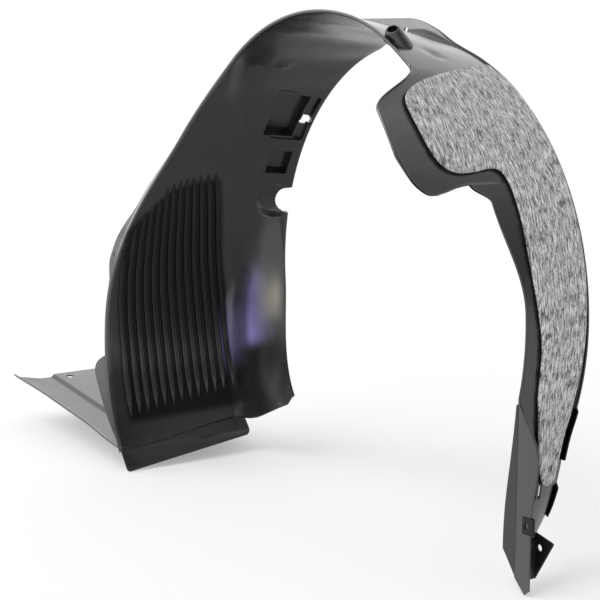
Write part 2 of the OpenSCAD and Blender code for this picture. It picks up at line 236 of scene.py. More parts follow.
def placed(r, a, y):
    """Points about the wheel axle, in metres in the part's frame. The leg's lower end rises
    towards the fender side and drops in its bend, and the lobe hangs at its inboard end."""
    v = share(np.minimum(a, 205), y)
    rise = np.where(a < 209, 0, ease(208.9, leg_end, a) * (2.6 * ease(0, 0.9, v) - 2.6 * ease(0.8, 0.9, v)
                                                    - 0.9 * ease(0.9, 0.97, v) + 1.3 * ease(0.975, 0.985, v)))
    hang = 2.2 * ease(20, 29, a) * (1 - ease(33, 42, a)) * (1 - ease(-45, 20, y))
    b = a - np.where(a < 90, hang, rise)
    b = np.radians(b)
    return (np.stack([r * np.cos(b), y + 0 * b, r * np.sin(b)], axis=-1) + stand) / 1000


def thickened(line, thick):
    """A row of 2-D lines, moved sideways by one wall with mitred corners."""
    step = np.diff(line, axis=1)
    step /= np.linalg.norm(step, axis=2, keepdims=True)
    side = np.stack([step[..., 1], -step[..., 0]], axis=-1)
    before = np.concatenate([side[:, :1], side], axis=1)
    after = np.concatenate([side, side[:, -1:]], axis=1)
    mid = before + after
    mid /= np.linalg.norm(mid, axis=2, keepdims=True)
    return line + mid * thick / np.maximum(0.5, np.sum(mid * before, axis=2, keepdims=True))


def rounded(tip, corner, inner, reach_, steps=5):
    """A flange that turns into the sheet in a small curve: points from its tip to the sheet."""
    to_tip = tip - corner
    long_ = np.linalg.norm(to_tip, axis=-1, keepdims=True)
    start = corner + to_tip / long_ * np.minimum(reach_, 0.9 * long_)
    flat = [tip + (start - tip) * t for t in (0.0, 0.3, 0.6)]
    t = np.linspace(0, 1, steps + 1)[:-1]
    turn = [(1 - k) ** 2 * start + 2 * k * (1 - k) * corner + k * k * inner for k in t]
    return flat + turn


def mesh_object(name, points, faces):
    mesh = bpy.data.meshes.new(name)
    mesh.from_pydata([tuple(map(float, p)) for p in points], [], [tuple(map(int, f)) for f in faces])
    shape = bmesh.new()
    shape.from_mesh(mesh)
    if shape.calc_volume(signed=True) < 0:
        bmesh.ops.reverse_faces(shape, faces=shape.faces)
    shape.to_mesh(mesh)
    shape.free()
    piece = bpy.data.objects.new(name, mesh)
    scene.collection.objects.link(piece)
    return piece


def walled(name, front, back):
    """A closed sheet between two grids of points, with its two long edges rounded off."""
    def short(p, q):
        d = q - p
        return p + d / np.linalg.norm(d, axis=-1, keepdims=True) * 0.0006
    f0, b0, f1, b1 = front[:, 0], back[:, 0], front[:, -1], back[:, -1]
    loops = np.concatenate([
        short(f0, front[:, 1])[:, None], front[:, 1:-1], short(f1, front[:, -2])[:, None],
        mix(f1, b1, 0.25)[:, None], mix(f1, b1, 0.75)[:, None],
        short(b1, back[:, -2])[:, None], back[:, -2:0:-1], short(b0, back[:, 1])[:, None],
        mix(b0, f0, 0.25)[:, None], mix(b0, f0, 0.75)[:, None]], axis=1)
    n, m = loops.shape[:2]
    faces = [(i * m + j, i * m + (j + 1) % m, (i + 1) * m + (j + 1) % m, (i + 1) * m + j)
             for i in range(n - 1) for j in range(m)]
    k = front.shape[1]
    opposite = [(j, (2 * k + 1 - j)) for j in range(k)]
    for row, flip in ((0, False), (n - 1, True)):
        for (p, q), (p2, q2) in zip(opposite, opposite[1:]):
            quad = (row * m + p, row * m + p2, row * m + q2, row * m + q)
            faces.append(quad if flip else quad[::-1])
        ends = ((k - 1, k, k + 1, k + 2), (2 * k + 1, 2 * k + 2, 2 * k + 3, 0))
        for end in ends:
            quad = tuple(row * m + p for p in end)
            faces.append(quad if flip else quad[::-1])
    return mesh_object(name, loops.reshape(-1, 3), faces)


def carve(piece, tool, operation):
    """Joins or cuts a closed tool into a closed piece."""
    step = piece.modifiers.new("carve", "BOOLEAN")
    step.operation, step.object, step.solver = operation, tool, "MANIFOLD"
    finish_shape(piece)
    bpy.data.objects.remove(tool, do_unlink=True)


def finish_shape(piece):
    """Applies the modifiers of a piece."""
    made = bpy.data.meshes.new_from_object(piece.evaluated_get(bpy.context.evaluated_depsgraph_get()))
    piece.modifiers.clear()
    old = piece.data
    piece.data = made
    bpy.data.meshes.remove(old)


def smooth(piece, degrees=32):
    """Smooth shading, with creases kept where faces meet at more than an angle."""
    mesh = piece.data
    mesh.polygons.foreach_set("use_smooth", np.ones(len(mesh.polygons), dtype=bool))
    mesh.set_sharp_from_angle(angle=math.radians(degrees))


angles = np.unique(np.round(np.concatenate([
    np.arange(-foot_end, 24, 1.25), np.arange(-36, -35, 0.2), np.arange(-30.6, -29.4, 0.2), np.arange(-18.8, -17.4, 0.2), np.arange(24, 58, 0.5), np.arange(30.2, 31.6, 0.1), np.arange(58, 190, 1.25),
    np.arange(190, 208.9, 0.8), np.arange(197.3, 200.1, 0.15), np.arange(157, 170, 0.5), np.arange(208.9, leg_end, 0.4), [leg_end]]), 3))
a = angles[:, None]
inner_v = np.concatenate([[0.03, 0.06], np.linspace(0.1, 0.9, 48), [0.94, 0.97]])
v0 = 4.0 / (fender_y - edge_y(a))
tip_in = np.stack([edge_r(angles) + inboard_h(angles), edge_y(angles)], axis=-1)
corner_in = np.stack([edge_r(angles), edge_y(angles)], axis=-1)
tip_out = np.stack([fender_edge(angles) + fender_h(angles), fender_y + 0 * angles], axis=-1)
corner_out = np.stack([fender_edge(angles), fender_y + 0 * angles], axis=-1)


def swell(a, y, at, size, turn=0.0):
    """A soft bump of height 1 at (angle, Y), with its two half widths in mm, turned on the sheet."""
    along, over = (a - at[0]) * 6.77, y - at[1]
    c, s = math.cos(math.radians(turn)), math.sin(math.radians(turn))
    return np.exp(-((along * c + over * s) / size[0]) ** 2 - ((over * c - along * s) / size[1]) ** 2)


def relief(a, y):
    """How far the moulding is pressed away from the wheel: the dome near the leg's foot, the long
    valley across the crown, the dish round the notch, and two small dents."""
    return (-9 * swell(a, y, (203.5, 152), (34, 19)) + 7 * swell(a, y, (133, 42), (75, 20), 24)
            - 4 * swell(a, y, (126, -8), (80, 22), 16) - 3.5 * swell(a, y, (121.8, 76), (4.5, 10), 35)
            - 3.4 * swell(a, y, (64.6, 76), (6, 15), 20) + 5 * swell(a, y, (190, 128), (60, 12))
            + 7 * (1 - ease(22, 31, np.hypot((a - 163.9) * 6.5, y - 152)))
            + 1.2 * np.sin(np.radians(a) * 21) * np.sin(y / 37 + a / 9) * ease(62, 80, a) * (1 - ease(150, 160, a)))


def face_r(a, y):
    """The wheel side of the moulding as it is, with its relief fading out at both edges."""
    v = share(a, y)
    return sheet_r(a, v) + relief(a, y) * ease(0, 0.08, v) * ease(1, 0.92, v)


def on_sheet(v):
    v = v + 0 * a
    y = mix(edge_y(a), fender_y, v)
    return np.stack([face_r(a, y), y], axis=-1)


first = on_sheet(v0)[:, 0]
fender_turn = 4 + np.maximum(0, np.minimum(fender_h(angles), 26) * 0.9 - 4) * ease(44, 60, angles) * (1 - ease(98, 106, angles))
v1 = 1 - fender_turn[:, None] / (fender_y - edge_y(a))
middle, last = on_sheet(mix(v0, v1, inner_v[None, :])), on_sheet(v1)[:, 0]
profile = np.concatenate([
    np.stack(rounded(tip_in, corner_in, first, 4.0), axis=1), first[:, None], middle, last[:, None],
    np.stack(rounded(tip_out, corner_out, last, fender_turn[:, None], 8)[::-1], axis=1)], axis=1)
outside = thickened(profile, wall)
shell = walled("arch_sheet", placed(profile[..., 0], a, profile[..., 1]),
               placed(outside[..., 0], a, outside[..., 1]))


# ---- The moulded boxes ------------------------------------------------------------------
# Two boxes sunk in the crown beside the fender edge, which clear what stands behind them. Their
# sides lean in by a few degrees, so that the moulding comes off the tool.
def tapered(name, low, high):
    """A block about the axle. Each end is (its radius at two Ys, first angle, last angle, the two Ys)."""
    points, across = [], 12
    for r0, r1, a0, a1, y0, y1 in (low, high):
        for r, y in ((r0, y0), (r1, y1)):
            points += [placed(r, np.float64(t), np.float64(y)) for t in np.linspace(a0, a1, across)]
    rows = [list(range(k * across, (k + 1) * across)) for k in range(4)]
    faces = []
    for p, q in ((0, 1), (1, 3), (3, 2), (2, 0)):
        faces += [(rows[p][i], rows[p][i + 1], rows[q][i + 1], rows[q][i]) for i in range(across - 1)]
    faces += [(rows[0][0], rows[1][0], rows[3][0], rows[2][0]), (rows[2][-1], rows[3][-1], rows[1][-1], rows[0][-1])]
    return mesh_object(name, points, faces)


pocket_deep = 24.0
edge = math.degrees(wall / fender_r)


def box(name, a0, a1, y0, y1, deep, lean):
    """Sinks one box with thin walls into the shell, to a depth under its surface at each side."""
    r0, r1 = (float(sheet_r(a0, share(a0, y))) for y in (y0, y1))
    carve(shell, tapered(name + "_box", (r0 + 0.6, r1 + 0.6, a0 - edge, a1 + edge, y0 - wall, y1 + wall),
                         (r0 + deep + wall, r1 + deep + wall, a0 - edge + lean, a1 + edge - lean, y0 - wall + 4, y1 + wall - 2)),
          "UNION")
    carve(shell, tapered(name + "_room", (r0 - 14, r1 - 14, a0 - 0.5, a1 + 0.5, y0 - 2.5, y1 + 1),
                         (r0 + deep, r1 + deep, a0 + lean, a1 - lean, y0 + 4, y1 - 2)), "DIFFERENCE")


box("shallow", 131.5, 146.3, 112, 168, 7.0, 0.5)
box("large", 131.5, 145.6, 101, 150, pocket_deep - 6, 1.0)
box("small", 149.5, 156.5, 122, 158, pocket_deep - 8, 0.9)


# ---- The holes in the shell -------------------------------------------------------------
# The half round notch for the drain hose, the drain hole in the box with its slit, the slot and the
# three vents in the foot, the bolt holes, and the bore of the boss. They are trimmed after moulding,
# so their edges are clean.
def drill(radius, start, end, sides=48):
    """A round cutter between two points, in the part's frame in metres."""
    start, end = Vector(start), Vector(end)
    turn = (end - start).to_track_quat("Z", "Y").to_matrix().to_4x4()
    long_ = (end - start).length
    ring = [(radius * math.cos(t), radius * math.sin(t)) for t in np.linspace(0, 2 * math.pi, sides, endpoint=False)]
    points = [start + turn @ Vector((x, y, z)) for z in (0, long_) for x, y in ring]
    faces = [(i, (i + 1) % sides, sides + (i + 1) % sides, sides + i) for i in range(sides)]
    faces += [tuple(range(sides))[::-1], tuple(range(sides, 2 * sides))]
    return mesh_object("drill", points, faces)


def radial(angle, y, diameter, r0, r1, sides=48):
    return drill(diameter / 2000, placed(r0, np.float64(angle), np.float64(y)),
                 placed(r1, np.float64(angle), np.float64(y)), sides)


boss_a, boss_y, boss_h, boss_bore, boss_lean = 67.0, 24.0, 22.0, 13.0, 32.0
boss_r = float(sheet_r(boss_a, share(boss_a, boss_y)))


def in_part(x, y, z):
    """A place in mm about the wheel axle, as a move in metres in the part's frame."""
    return Matrix.Translation(Vector(((np.array([x, y, z]) + stand) / 1000).tolist()))


def turned_by(degrees, axis):
    return Matrix.Rotation(math.radians(degrees), 4, axis)


ba = math.radians(boss_a)
boss_turn = (in_part(boss_r * math.cos(ba), boss_y, boss_r * math.sin(ba))
             @ turned_by(90 - boss_a, "Y") @ turned_by(boss_lean, "X"))
carve(shell, radial(140.3, fender_y - 14, 21, fender_r - 30, fender_r + 40, 6), "DIFFERENCE")
carve(shell, tapered("slit", (fender_r - 20, fender_r - 20, 141.5, 147.6, fender_y - 9.6, fender_y - 8.4),
                     (fender_r + 30, fender_r + 30, 141.5, 147.6, fender_y - 9.6, fender_y - 8.4)), "DIFFERENCE")
carve(shell, tapered("slot", (fender_r - 20, fender_r - 20, -32.2, -30.5, 146, 154),
                     (fender_r + 60, fender_r + 60, -32.2, -30.5, 146, 154)), "DIFFERENCE")
for a0, a1, y0 in ((-34.0, -31.0, 106), (-34.4, -31.5, 116), (-34.9, -32.6, 126)):
    r0, r1 = (float(sheet_r(a1, share(a1, y))) + wall for y in (y0, y0 + 5.5))
    carve(shell, tapered("vent", (r0 - 1.5, r1 - 1.5, a0, a1, y0, y0 + 5.5), (r0 + 15, r1 + 15, a0, a1, y0, y0 + 5.5)), "DIFFERENCE")
ear_r = float(edge_r(178)) + 15
carve(shell, drill(0.003, placed(ear_r, np.float64(178.2), np.float64(-92)), placed(ear_r, np.float64(178.2), np.float64(-70))),
      "DIFFERENCE")
carve(shell, radial(163.7, fender_y, 44, fender_r - 30, fender_r + 40), "DIFFERENCE")
carve(shell, drill(boss_bore / 2000, boss_turn @ Vector((0, 0, -0.02)), boss_turn @ Vector((0, 0, 0.03))), "DIFFERENCE")
for side in (-78 - 48, -78 + 48):
    centre = (np.array([side, 0, fender_r + fender_flange / 2]) + stand) / 1000
    carve(shell, drill(0.00425, (centre[0], 0.12, centre[2]), (centre[0], 0.14, centre[2])), "DIFFERENCE")
smooth(shell)


# ---- The ribs ---------------------------------------------------------------------------
# Thirteen stiffening ribs down the flat face of the front leg. Each has a flat top with rounded
# corners, starts bluntly and runs out to a point near the fold. They spread towards the foot.
rib_count, rib_low = 13, 208.0
rib_tops = [179.8, 172.6, 170.2, 167.6, 165.0, 162.2, 161.0, 160.3, 159.8, 159.4, 158.9, 158.5, 158.0]


def rib_share(i, a):
    k, back = i / (rib_count - 1), (rib_low - a) / 50
    return 0.118 + 0.705 * k - (0.22 + 0.36 * k - 0.18 * k * k) * back * np.abs(back)


def moulded_ribs():
    """The tree that sweeps a rounded trapezoid along each rib's line."""
    tree = bpy.data.node_groups.new("moulded ribs", "GeometryNodeTree")
    for name, kind, way in (("Geometry", "NodeSocketGeometry", "INPUT"), ("Rib width", "NodeSocketFloat", "INPUT"),
                            ("Rib height", "NodeSocketFloat", "INPUT"), ("Corner radius", "NodeSocketFloat", "INPUT"),
                            ("Plastic", "NodeSocketMaterial", "INPUT"), ("Geometry", "NodeSocketGeometry", "OUTPUT")):
        tree.interface.new_socket(name, in_out=way, socket_type=kind)
    given = put(tree, "NodeGroupInput")
    swell = put(tree, "GeometryNodeInputNamedAttribute", {"Name": "swell"}, data_type="FLOAT")
    out = put(tree, "GeometryNodeInputNamedAttribute", {"Name": "out"}, data_type="FLOAT_VECTOR")
    line = put(tree, "GeometryNodeMeshToCurve", {"Mesh": given.outputs["Geometry"]})
    turned = put(tree, "GeometryNodeSetCurveNormal", {"Curve": line.outputs[0], "Normal": out.outputs["Attribute"]},
                 mode="FREE")
    top = put(tree, "ShaderNodeMath", {0: given.outputs["Rib width"], 1: 0.62}, operation="MULTIPLY")
    tall = put(tree, "ShaderNodeMath", {0: given.outputs["Rib height"], 1: 2.0}, operation="MULTIPLY")
    outline = put(tree, "GeometryNodeCurvePrimitiveQuadrilateral",
                  {"Bottom Width": given.outputs["Rib width"], "Top Width": top.outputs[0],
                   "Height": tall.outputs[0], "Offset": 0.0}, mode="TRAPEZOID")
    soft = put(tree, "GeometryNodeFilletCurve", {"Curve": outline.outputs[0], "Radius": given.outputs["Corner radius"],
                                                 "Count": 3}, mode="POLY")
    swept = put(tree, "GeometryNodeCurveToMesh", {"Curve": turned.outputs[0], "Profile Curve": soft.outputs[0],
                                                  "Fill Caps": True, "Scale": swell.outputs["Attribute"]})
    real = put(tree, "GeometryNodeRealizeInstances", {"Geometry": swept.outputs[0]})
    plastic_ = put(tree, "GeometryNodeSetMaterial", {"Geometry": real.outputs[0], "Material": given.outputs["Plastic"]})
    put(tree, "NodeGroupOutput", {"Geometry": plastic_.outputs[0]})
    return tree


def with_lines(name, lines, values):
    """Open lines of points as loose edges, with a value or a direction stored at each point."""
    points = np.concatenate(lines)
    edges, first = [], 0
    for line in lines:
        edges += [(first + i, first + i + 1) for i in range(len(line) - 1)]
        first += len(line)
    mesh = bpy.data.meshes.new(name)
    mesh.from_pydata(points.tolist(), edges, [])
    for label, (kind, rows) in values.items():
        rows = np.concatenate(rows)
        mesh.attributes.new(label, kind, "POINT").data.foreach_set("value" if kind == "FLOAT" else "vector", rows.ravel())
    piece = bpy.data.objects.new(name, mesh)
    scene.collection.objects.link(piece)
    return piece


def run_tree(piece, tree, settings):
    """Gives a piece a Geometry Nodes tree with its inputs, and keeps the result as a plain mesh."""
    step = piece.modifiers.new("tree", "NODES")
    step.node_group = tree
    for item in tree.interface.items_tree:
        if item.in_out == "INPUT" and item.name in settings:
            step[item.identifier] = settings[item.name]
    finish_shape(piece)


def polypropylene():
    """Black polypropylene, injection moulded on a finely grained tool. To the eye it is a warm
    near-black with a dull sheen: glancing light washes it grey, and the slow sink marks of the
    moulding make its reflections wander. A purple streak and a straw patch in the bend of the leg
    are painted highlights, and painted shade makes the rib field and a few other places deeper
    black, with a weaker coat. The grain of about 0.3 mm is drawn at 1.2 mm to show."""
    made = bpy.data.materials.new("moulded black polypropylene")
    made.use_nodes = True
    tree = made.node_tree
    tree.nodes.clear()
    place = put(tree, "ShaderNodeTexCoord").outputs["Object"]
    flow = put(tree, "ShaderNodeTexNoise", {"Vector": place, "Scale": 1 / 0.09, "Detail": 3.0, "Roughness": 0.5})
    grain = put(tree, "ShaderNodeTexNoise", {"Vector": place, "Scale": 1 / 0.0012, "Detail": 2.0, "Roughness": 0.6})
    dust = put(tree, "ShaderNodeTexNoise", {"Vector": place, "Scale": 1 / 0.018, "Detail": 6.0, "Roughness": 0.7})
    tone = put(tree, "ShaderNodeMix", {0: flow.outputs[0], 6: linear("#151514"), 7: linear("#1f1f1f")}, data_type="RGBA")
    dust_and_highlight = put(tree, "ShaderNodeMapRange", {"Value": dust.outputs[0], "From Min": 0.52, "From Max": 0.8,
                                            "To Min": 0.0, "To Max": 0.16})
    dusty = put(tree, "ShaderNodeMix", {0: dust_and_highlight.outputs[0], 6: tone.outputs[2], 7: linear("#4b4a47")}, data_type="RGBA")
    dull = put(tree, "ShaderNodeMapRange", {"Value": dust.outputs[0], "From Min": 0.3, "From Max": 0.75,
                                            "To Min": 0.24, "To Max": 0.36})
    sink = put(tree, "ShaderNodeBump", {"Height": flow.outputs[0], "Strength": 0.25, "Distance": 0.012})
    skin = put(tree, "ShaderNodeBump", {"Height": grain.outputs[0], "Strength": 0.1, "Distance": 0.0001,
                                        "Normal": sink.outputs[0]})
    # Painted shade: the attribute read here darkens the base towards near black, and the two maps below fade the coat
    # and lower the IOR, so reflections are dimmed there too.
    ribbed = put(tree, "ShaderNodeAttribute", attribute_name="ribbed")
    dark = put(tree, "ShaderNodeMix", {0: ribbed.outputs["Fac"], 6: dusty.outputs[2], 7: linear("#090909")}, data_type="RGBA")
    # Painted highlights: a purple streak and a straw patch in the bend of the front leg are painted into the base
    # colour.
    dust_and_highlight = put(tree, "ShaderNodeAttribute", attribute_name="painted_purple_highlight")
    dark = put(tree, "ShaderNodeMix", {0: dust_and_highlight.outputs["Fac"], 6: dark.outputs[2], 7: linear("#a69ce4")}, data_type="RGBA")
    dust_and_highlight = put(tree, "ShaderNodeAttribute", attribute_name="painted_straw_highlight")
    dust_and_highlight = put(tree, "ShaderNodeMath", {0: dust_and_highlight.outputs["Fac"], 1: 0.9}, operation="MULTIPLY")
    dark = put(tree, "ShaderNodeMix", {0: dust_and_highlight.outputs[0], 6: dark.outputs[2], 7: linear("#aaa492")}, data_type="RGBA")
    shaded_coat = put(tree, "ShaderNodeMapRange", {"Value": ribbed.outputs["Fac"], "To Min": 1.0, "To Max": 0.15})
    bend = put(tree, "ShaderNodeMapRange", {"Value": ribbed.outputs["Fac"], "To Min": 1.49, "To Max": 1.3})
    surface = put(tree, "ShaderNodeBsdfPrincipled", {"Base Color": dark.outputs[2], "Roughness": dull.outputs[0],
                                                     "IOR": bend.outputs[0], "Coat Weight": shaded_coat.outputs[0], "Coat Roughness": 0.16,
                                                     "Coat IOR": 1.5, "Normal": skin.outputs[0]})
    put(tree, "ShaderNodeOutputMaterial", {"Surface": surface.outputs[0]})
    return made


plastic = polypropylene()
spots = np.empty(len(shell.data.vertices) * 3, dtype=np.float32)
shell.data.vertices.foreach_get("co", spots)
spots = spots.reshape(-1, 3) * 1000 - stand
sa = np.degrees(np.arctan2(spots[:, 2], spots[:, 0])) % 360
sv = share(np.minimum(sa, 214), spots[:, 1])
# Painted shade on the shell: the rib field on the front leg, a dark patch on the dome in its bend, two stretches of the
# foot's fender edge and the rims of the three vents.
band = ease(-0.02, 0.03, sv - rib_share(-0.4, sa)) * ease(0.02, -0.02, sv - rib_share(12.5, sa))
band *= ease(-0.5, 1.5, sa - np.interp(sv, rib_share(np.arange(13), 165.0), rib_tops)) * ease(211, 209, sa)
sy = spots[:, 1]
shade = np.where(sa > 150, band, 0) + swell(sa, sy, (203.5, 158), (40, 14)) * (sa > 150)
sa_foot = sa - 360 * (sa > 300)
shade += ((sy > 165) & (((sa_foot < -18) & (sa_foot > -30)) | (sa_foot < -35.4)))
for a0, a1, y0 in ((-34.0, -31.0, 106), (-34.4, -31.5, 116), (-34.9, -32.6, 126)):
    shade += ((sa_foot > a0 - 0.2) & (sa_foot < a1 + 0.2) & (sy > y0 - 1) & (sy < y0 + 6.5))
# Painted highlights in the bend of the front leg: a narrow purple streak along its crest with a fainter spread, and a
# straw patch beside it.
crest = np.interp(sa, [174, 181, 190, 199.6, 206], [140, 143, 149, 148, 145])
painted_purple_highlight = (np.exp(-((sy - crest) / 3.4) ** 2) + 0.35 * np.exp(-((sy - crest) / 9) ** 2)) / 1.35 \
    * ease(176, 195, sa) ** 1.5 * (1 - ease(197.5, 201, sa)) \
    + 0.3 * np.exp(-((sy - crest + 23) / 12) ** 2) * ease(188, 195, sa) * (1 - ease(198, 205, sa))
painted_straw_highlight = swell(sa, sy, (189.5, 160.5), (34, 5)) * (1 - ease(194, 197, sa))
for name, value in (("ribbed", np.clip(shade, 0, 1)), ("painted_purple_highlight", np.where(sa < 214, painted_purple_highlight, 0)), ("painted_straw_highlight", painted_straw_highlight)):
    shell.data.attributes.new(name, "FLOAT", "POINT").data.foreach_set("value", value.astype(np.float32))
shell.data.materials.clear()
shell.data.materials.append(plastic)
shell.data.polygons.foreach_set("material_index", np.zeros(len(shell.data.polygons), dtype=np.int32))
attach(shell, "root")
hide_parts("liner_shell")

lines, swells, outs, rib_painted_shade = [], [], [], []
for i in range(rib_count):
    top, low = rib_tops[i], rib_low + 1.5 - 2.2 * i / (rib_count - 1)
    t = np.concatenate([np.linspace(top - 0.6, top + 1.5, 8), np.arange(top + 2.2, low - 4, 0.8),
                        np.linspace(low - 3.4, low + 0.3, 10)])
    v = np.maximum(rib_share(i, t), 0.02)
    y = mix(edge_y(t), fender_y, v)
    centre = placed(face_r(t, y) + 0.6, t, y)
    above = placed(face_r(t, y) - 4.4, t, y)
    pitch = (rib_share(i + 0.5, t) - rib_share(i - 0.5, t)) * (fender_y - edge_y(t))
    run = (0.6 + 0.4 * ease(top - 0.4, top + 4, t)) * ease(top - 0.65, top - 0.4, t) * (1 - ease(low - 4.4, low + 0.35, t))
    lines.append(centre)
    # Painted shade on the ribs, strong on their upper part and fading near their low ends.
    rib_painted_shade.append(mix(0.75, 0.1, ease(193, 205, t)).astype(np.float32))
    swells.append((np.maximum(run, 0.04) * pitch / 15.4).astype(np.float32))
    d = above - centre
    outs.append((d / np.linalg.norm(d, axis=1, keepdims=True)).astype(np.float32))
ribs = with_lines("moulded_ribs", lines, {"swell": ("FLOAT", swells), "out": ("FLOAT_VECTOR", outs),
                                            "ribbed": ("FLOAT", rib_painted_shade)})
run_tree(ribs, moulded_ribs(), {"Rib width": 0.0112, "Rib height": 0.0044, "Corner radius": 0.0017, "Plastic": plastic})
smooth(ribs, 50)
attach(ribs, "root")


# ---- The flap ---------------------------------------------------------------------------
# A stiff flap hangs under the fold of the front leg, across most of its width. It is part of the
# same moulding, with rounded lower corners, and its lower edge stands on the floor.
flap_len, flap_h, fold_slope, fold_lean, flap_round = 232.0, 33.0, 8.0, 24.0, 9.0
fold_r = float(edge_r(leg_end))
depth = flap_h / math.cos(math.radians(fold_slope)) / math.cos(math.radians(fold_lean))


def arc(cx, cy, r, t0, t1, steps=8):
    return [(cx + r * math.cos(math.radians(t)), cy + r * math.sin(math.radians(t))) for t in np.linspace(t0, t1, steps)]


def board(name, outline, turn, thick, soft=0.5, width_segments=1):
    """A flat outline in mm, given a thickness and soft edges, and turned into place."""
    shape = bmesh.new()
    low = [shape.verts.new((x, y, 0)) for x, y in outline]
    high = [shape.verts.new((x, y, thick)) for x, y in outline]
    shape.faces.new(low[::-1])
    shape.faces.new(high)
    n = len(outline)
    for i in range(n):
        shape.faces.new((low[i], low[(i + 1) % n], high[(i + 1) % n], high[i]))
    rims = [e for e in shape.edges if abs(e.verts[0].co.z - e.verts[1].co.z) < 1e-6]
    bmesh.ops.bevel(shape, geom=rims, offset=soft, segments=2, affect="EDGES", profile=0.5)
    bmesh.ops.recalc_face_normals(shape, faces=shape.faces)
    shape.transform(turn)
    if turn.determinant() < 0:
        bmesh.ops.reverse_faces(shape, faces=shape.faces)
    mesh = bpy.data.meshes.new(name)
    shape.to_mesh(mesh)
    shape.free()
    piece = bpy.data.objects.new(name, mesh)
    scene.collection.objects.link(piece)
    return piece


mm = Matrix.Scale(0.001, 4)
corner = (fold_r * math.cos(math.radians(leg_end)), -leg_flare, fold_r * math.sin(math.radians(leg_end)))
flap_turn = (in_part(*corner) @ turned_by(fold_slope, "X") @ turned_by(-fold_lean, "Y")
             @ turned_by(-90, "Z") @ turned_by(90, "X") @ Matrix.Scale(-1, 4, (1, 0, 0)) @ mm)
flap = board("fold_flap", [(0, 4)] + arc(6, 6 - depth, 6, 180, 270) +
             arc(flap_len - flap_round, flap_round - depth, flap_round, 270, 360) + [(flap_len - 1, -6), (flap_len - 2, 4)],
             flap_turn, wall)
flap.data.materials.append(plastic)
smooth(flap)
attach(flap, "root")


# ---- The front plate --------------------------------------------------------------------
# A flat apron of the same plastic, which runs forward from the fold under the front of the car.
# Low steps stiffen it. Its inboard lip turns up, and its other lip turns down to the floor.
plate_len, plate_slope, plate_far = 388.0, 6.0, 165.0
fold_x = fold_r * math.cos(math.radians(leg_end))


def plate_point(u, y):
    step = (5 * ease(-30, -22, y) * ease(40, 100, u) - 4 * ease(146, 158, u) * ease(60, 70, y)
            + 6 * (1 - ease(-leg_flare, -leg_flare + 7, y)) * ease(40, 146, u))
    top = wall - axle_h + flap_h + u * math.tan(math.radians(plate_slope)) + step
    root = fold_r * math.sin(math.radians(leg_end)) + 4 + (np.minimum(y, 140) + leg_flare) * math.tan(math.radians(fold_slope))
    z = mix(root, top, ease(0, 40, u))
    x = fold_x - wall / 2 - (y + leg_flare) * 0.04 \
        - u * (1 + 0.1 * (1 - ease(-leg_flare, -45, y)) * ease(plate_len - 90, plate_len, u))
    side = np.where(y < 100, y, mix(np.minimum(y, 140) - (plate_far - y) * 0.02, y, ease(0, 40, u)))
    return x, side, z


u = np.concatenate([np.linspace(0, 40, 12), np.arange(44, 84, 5), np.arange(84, 102, 2), np.arange(104, 144, 5),
                    np.arange(145, 160, 1.5), np.arange(163, plate_len, 5), [plate_len]])[:, None]
y = np.concatenate([np.arange(-leg_flare, -leg_flare + 8, 1), np.arange(-72, -31, 5), np.arange(-31, -20, 1.2),
                    np.arange(-16, 59, 5), np.arange(59, 71.5, 1.25), np.arange(75, plate_far - 4, 5),
                    np.array([-2.4, -1.4, -0.7, -0.2]) + plate_far])[None, :]
x, side, z = plate_point(u, y)
sag = np.array([0.1, 0.35, 0.8, 1.5])
z[:, -4:] -= sag
floor_z = wall - axle_h
low = mix(6, z[:, -1] - floor_z - wall, (ease(84, 100, u) * (1 - ease(146, 158, u)))[:, 0])
drop_z = z[:, -1:] - low[:, None] * np.array([0.34, 0.67, 1.0])
x = np.concatenate([x, np.repeat(x[:, -1:], 3, axis=1)], axis=1)
side = np.concatenate([side, np.repeat(side[:, -1:] + 0.2, 3, axis=1)], axis=1)
z = np.concatenate([z, drop_z], axis=1)
line = np.stack([side, z], axis=-1)
under = thickened(line, wall)
top_points = (np.stack([x, side, z], axis=-1) + stand) / 1000
low_points = (np.stack([x, under[..., 0], under[..., 1]], axis=-1) + stand) / 1000
plate = walled("front_plate", top_points, low_points)
hole_u = plate_len - 24
hx, hy, hz = plate_point(np.float64(hole_u), np.float64(-2.0))
hole = (np.array([float(hx), -2.0, float(hz)]) + stand) / 1000
carve(plate, drill(0.007, (hole[0], hole[1], hole[2] - 0.02), (hole[0], hole[1], hole[2] + 0.02)), "DIFFERENCE")
plate.data.materials.clear()
plate.data.materials.append(plastic)
plate.data.polygons.foreach_set("material_index", np.zeros(len(plate.data.polygons), dtype=np.int32))
smooth(plate)
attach(plate, "root")


# ---- The toe ----------------------------------------------------------------------------
# A strip of the shell that runs on past the foot's flange and widens downward, where the liner
# meets the sill. It is moulded with the shell, and leans forward.
t = np.linspace(-15, -foot_end, 30)[:, None]
part_in = np.array([[0, 0.25, 0.5, 0.75, 1.0]])
y0 = edge_y(t) - 0.6 - 8 * ease(-10, -foot_end, t)
across = y0 + (edge_y(t) + wall / 2 - y0) * part_in
raised = t + 2.4 * (1 - part_in) * ease(-24, -foot_end, t)
toe_r = edge_r(raised) - 12 * (1 - part_in) * ease(-10, -foot_end, t) / np.cos(np.radians(raised))
toe = walled("toe", placed(toe_r + 0.2, raised, across), placed(toe_r + wall - 0.2, raised, across))
toe.data.materials.append(plastic)
smooth(toe)
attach(toe, "root")


